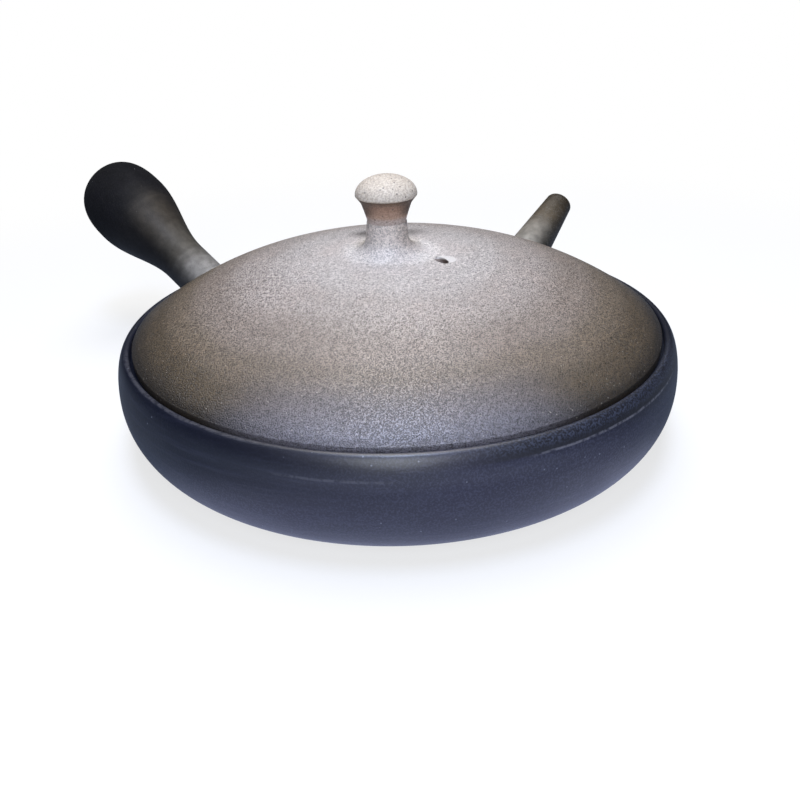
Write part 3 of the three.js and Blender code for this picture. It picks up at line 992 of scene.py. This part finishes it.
def neck_colour_and_shade(place, height):
    tone = height.node("ShaderNodeMapRange", None, {
        "Value": height, "From Min": STUCK_HEIGHT - 1 * MM, "From Max": BRIM_HEIGHT})
    # The brown darkens towards the cap, as painted shade under its brim.
    neck = (tone + (noise(place, 350) - 0.5) * 0.14).ramp(
        (0.0, "c8b9b3"), (0.25, "bd9e8a"), (0.6, "a98975"), (1.0, "6f5844"))
    # Painted shade on the neck's left and right edges, as seen from the camera.
    offset = reach(place, BOSS_SHIFT, TOWARDS_CAMERA @ Vector((1, 0, 0)))
    shaded_sides = offset.maths("ABSOLUTE", offset).between(0.45 * NECK_RADIUS, 1.1 * NECK_RADIUS)
    return (shaded_sides * tone.between(0.1, 0.35) * 0.75).mix(neck, "45352a")


def knob_clay():
    material, place = start_material("knob_clay")
    height = coordinate(place, "z")
    cap = height.between(BRIM_HEIGHT - 0.1 * MM, BRIM_HEIGHT + 0.1 * MM)
    body = cap.mix(neck_colour_and_shade(place, height), "e1d6c8")
    fine = noise(place, 2400).between(0.38, 0.62)
    grained = (fine * 0.7).mix(body, (0.6, 0.55, 0.52, 1), "MULTIPLY")
    specked = (specks(place, 1100, 0.3, 0.28) * 0.75).mix(grained, "5d534d")
    return finish_clay(material, specked, 0.5 + fine * 0.1, (1 - fine) + noise(place, 600), 0.04 * MM)


give(knob, knob_clay())

# %% [markdown]
# ## The handle's clay
# Smoke gathered at the far end. The club is black and turns grey near the bowl, with painted shade along its
# lower side, a darker upper ridge, and fine uneven rings from the potter's fingers. How far along the handle a
# point lies is one dot product, and how far to one side it lies is another, so the clay needs no map unwrapped
# on its tube.

# %% Mix the handle's clay
def arm_axis(arm):
    return arm.to_3x3() @ Vector((0, 0, 1))


def along(place, arm, length):
    """From 0 at an arm's foot to 1 at its end."""
    return reach(place, arm.translation, arm_axis(arm)) / length


def mottle(place, colour):
    """Soft patches, a little lighter and darker than the clay between them."""
    patches = noise(place, 420, 4).between(0.3, 0.7).mix((0.8, 0.79, 0.77, 1), (1.2, 1.19, 1.17, 1))
    return place.vector("MULTIPLY", colour, patches)


def throwing_marks(place, arm, length):
    """Fine uneven rings round an arm, left by the potter's fingers."""
    inputs = {0: along(place, arm, length) * length, 1: how_far(place) * 0.15}
    return noise(place.node("ShaderNodeCombineXYZ", None, inputs), 420, 3)


def lower_side_way():
    """Points to the handle's lower side, square to its axis, as long as one over its waist's radius."""
    axis = arm_axis(handle_frame)
    lower_side = axis.cross(Vector((0, 0, -1))).normalized() * 0.85 + Vector((0, 0, -0.5))
    return (lower_side - axis * lower_side.dot(axis)).normalized() / HANDLE_WAIST_RADIUS


def handle_clay():
    material, place = start_material("handle_clay")
    marks = throwing_marks(place, handle_frame, HANDLE_LENGTH)
    far = along(place, handle_frame, HANDLE_LENGTH) + (noise(place, 60) - 0.5) * 0.15 + (marks - 0.5) * 0.12
    shade = far.ramp(
        (0.0, "b0aeab"), (0.14, "868380"), (0.3, "4e4a44"), (0.52, "3a342d"), (0.7, "111014"), (1.0, "06070b"))
    lean = reach(place, handle_frame.translation, lower_side_way())
    # Painted shade along the handle's lower side, and a darker upper ridge.
    shaded_below = (lean + (noise(place, 90) - 0.5) * 0.6).between(0.1, 0.95) * 0.9
    above = (0 - lean).between(0.6, 1.6) * 0.7
    shade_and_ridge = (shaded_below + above).mix(shade, "0d0d12")
    grain = noise(place, 2200)
    grained = (grain.between(0.45, 0.8) * 0.2).mix(mottle(place, shade_and_ridge), "33322f")
    sandy = (specks(place, 500, 0.1, 0.04) * 0.5).mix(grained, "8a8884")
    bump = grain * 0.6 + noise(place, 500) * 0.4 + marks * 1.2
    matt = noise(place, 120) * 0.12 + far.between(0.5, 0.8) * 0.4 + (0 - lean).between(0.5, 1.4) * 0.25
    return finish_clay(material, sandy, 0.46 + matt, bump, 0.05 * MM, 0.24)


handle_material = handle_clay()
give(handle, handle_material)
give(handle_coil, handle_material)

# %% [markdown]
# ## The spout's clay
# The spout is grey at its foot and brown to black towards its tip, and painted shade makes it black along one
# side.
# It is made as the handle's clay is, from the way along the tube and the way across the pot, with a paler
# and stronger grain.

# %% Mix the spout's clay
def spout_clay():
    material, place = start_material("spout_clay")
    side = coordinate(place, "y") / SPOUT_FOOT_RADIUS
    wander = (noise(place, 90) - 0.5) * 0.2
    shade = (along(place, spout_frame, SPOUT_LENGTH) + wander).ramp(
        (0.0, "bab9b5"), (0.4, "857f76"), (0.7, "554a3b"), (1.0, "33291c"))
    # Painted shade: black along the spout's side that is on the camera's right.
    dark_side_shade = (1 - (side + wander).between(-0.95, -0.3)).mix(shade, "100c06")
    grain = noise(place, 2200)
    grained = (grain.between(0.45, 0.8) * 0.35).mix(mottle(place, dark_side_shade), "8a8780")
    bump = grain * 0.6 + noise(place, 500) * 0.5
    return finish_clay(material, grained, 0.5 + noise(place, 120) * 0.12, bump, 0.06 * MM)


spout_material = spout_clay()
give(spout, spout_material)
give(spout_coil, spout_material)

# %% [markdown]
# ## The clay inside
# No smoke reached the strainer and the ring under the lid, so they show the bare brown clay. Two browns mixed
# by a slow noise, and a grain over them, are enough for pieces that lie in the shade.

# %% Mix the inner clay
def inner_clay():
    material, place = start_material("inner_clay")
    grain = noise(place, 1500, 3)
    body = noise(place, 80).between(0.3, 0.7).mix("4c3f36", "5b4a3e")
    grained = (grain.between(0.4, 0.8) * 0.5).mix(body, "756353")
    return finish_clay(material, grained, 0.7 + grain * 0.1, grain, 0.1 * MM)


inner_material = inner_clay()
give(strainer, inner_material)
give(flange, inner_material)

# %% [markdown]
# ## The floor's paper
# The pot stands on pale paper, as for a product picture. The paper looks white to the camera, and near the
# pot it keeps a soft shadow. Clay mirrors little, and in the photo its dark sides stay dark, so its
# reflections see the white paper only before and behind the pot, a little cool. The paper's own bounce is
# cool too, which the belly shows. More lamps could whiten the paper, but they would bleach the clay, so the
# kind of ray decides instead.

# %% Paint the paper
FLOOR_COLOUR = (0.3, 0.305, 0.315, 1)
FLOOR_GLOW = 0.7
WHITE_FROM = 0.14
WHITE_TO = 0.3
MIRROR_PLACE = TOWARDS_CAMERA @ Vector((12, -80, 0)) * MM
MIRROR_FROM = 0.05
MIRROR_TO = 0.1
COOL_MIRRORED = (1.05, 1.16, 1.7, 1)
COOL_BOUNCE = (0.26, 0.3, 0.38, 1)
BEHIND_PLACE = TOWARDS_CAMERA @ Vector((0, 280, 0)) * MM
BEHIND_FROM = 0.1
BEHIND_TO = 0.2
BEHIND_MIRRORED = 0.9
FAR_MIRRORED = 0.02


def ray_kinds(tree):
    """One where the camera looks, where it looks through glass, and where a piece mirrors."""
    kinds = tree.nodes.new("ShaderNodeLightPath").outputs
    return Wire(kinds["Is Camera Ray"]), Wire(kinds["Is Transmission Ray"]), Wire(kinds["Is Glossy Ray"])


def floor_paper():
    material, place = start_material("floor_paper")
    looked, through, mirrored = ray_kinds(material.node_tree)
    far = how_far(place).between(WHITE_FROM, WHITE_TO)
    before = 1 - how_far(place, MIRROR_PLACE).between(MIRROR_FROM, MIRROR_TO)
    behind = 1 - how_far(place, BEHIND_PLACE).between(BEHIND_FROM, BEHIND_TO)
    seen = looked + through + mirrored * (before + behind * BEHIND_MIRRORED + FAR_MIRRORED)
    plain = seen.node("ShaderNodeBsdfDiffuse", None, {"Color": FLOOR_COLOUR})
    tint = mirrored.mix(WHITE, COOL_MIRRORED)
    glow = seen.node("ShaderNodeEmission", None, {"Color": tint, "Strength": FLOOR_GLOW})
    white = seen.node("ShaderNodeEmission", None, {"Color": WHITE, "Strength": 1.0})
    near = seen.node("ShaderNodeAddShader", None, {0: plain, 1: glow})
    bright = seen.node("ShaderNodeMixShader", None, {0: far, 1: near, 2: white})
    bounce = seen.node("ShaderNodeBsdfDiffuse", None, {"Color": COOL_BOUNCE})
    connect_output(seen.node("ShaderNodeMixShader", None, {0: seen, 1: bounce, 2: bright}))
    return material


# %% [markdown]
# ## The floor
# One square of four metres is enough, because the paper is white to the camera from far off. It lies a hair
# under the pot's foot, so that the two never share a plane, which would speckle the render.

# %% Lay the floor
FLOOR_SIZE = 4.0
FLOOR_GAP = 0.05 * MM


def lay_floor():
    shape = bmesh.new()
    bmesh.ops.create_grid(shape, x_segments=1, y_segments=1, size=FLOOR_SIZE / 2,
                          matrix=Matrix.Translation((0, 0, -FLOOR_GAP)))
    made = add_to_scene("floor", mesh_of("floor", shape))
    give(made, floor_paper())
    return made


floor = lay_floor()
print("floor is", [round(v, 1) for v in floor.dimensions], "metres")

# %% [markdown]
# ## The room
# A dim even room fills the shadows. It looks white to the camera, so that the picture's ground is white, and
# nearly dark to reflections. A picture of a room could do this as well, but one plain level is easier to
# judge.

# %% Dim the room
ROOM_COLOUR = (0.95, 0.97, 1.0, 1)
ROOM_LIGHT = 0.1
DARK_MIRRORED = 0.75


def dim_room():
    world = bpy.data.worlds.new("studio")
    world.use_nodes = True
    bpy.context.scene.world = world
    tree = world.node_tree
    looked, through, mirrored = ray_kinds(tree)
    seen = looked + through + mirrored * FAR_MIRRORED
    level = (1 - mirrored * DARK_MIRRORED) * ROOM_LIGHT
    dim = seen.node("ShaderNodeBackground", None, {"Color": ROOM_COLOUR, "Strength": level})
    white = seen.node("ShaderNodeBackground", None, {"Color": WHITE, "Strength": 1.0})
    both = seen.node("ShaderNodeMixShader", None, {0: seen, 1: dim, 2: white})
    tree.links.new(both.socket, tree.nodes["World Output"].inputs["Surface"])


dim_room()
print("room lit at", ROOM_LIGHT)

# %% [markdown]
# ## The lamps
# The pot is lit at a plain level: a broad lamp high over it, a small cool one over its front edge, which gives
# the lid its sheen, and a tall one in front for the shoulder. Area lamps were chosen because their shadows
# are soft. Each hangs at the same distance and looks at the middle of the pot's foot.

# %% Hang the lamps
LAMP_DISTANCE = 0.6


def softbox(name, azimuth, elevation, width, length, watts, colour):
    lamp = bpy.data.lights.new(name, "AREA")
    lamp.shape = "ELLIPSE"
    lamp.size = width
    lamp.size_y = length
    lamp.energy = watts
    lamp.color = colour
    made = add_to_scene(name, lamp)
    place = direction(azimuth, elevation) * LAMP_DISTANCE
    across = direction(azimuth + 90, 0)
    back = place.normalized()
    made.matrix_world = Matrix((across, back.cross(across), back)).transposed().to_4x4()
    made.location = place
    print(name, "lamp at", [round(v, 2) for v in place])


softbox("overhead", 0, 101, 0.35, 0.6, 2.4, (1.0, 0.965, 0.91))
softbox("window", 2, 72, 0.16, 0.24, 1.7, (0.6, 0.72, 1.0))
softbox("front", 0, 30, 0.32, 0.46, 1.7, (0.88, 0.93, 1.0))
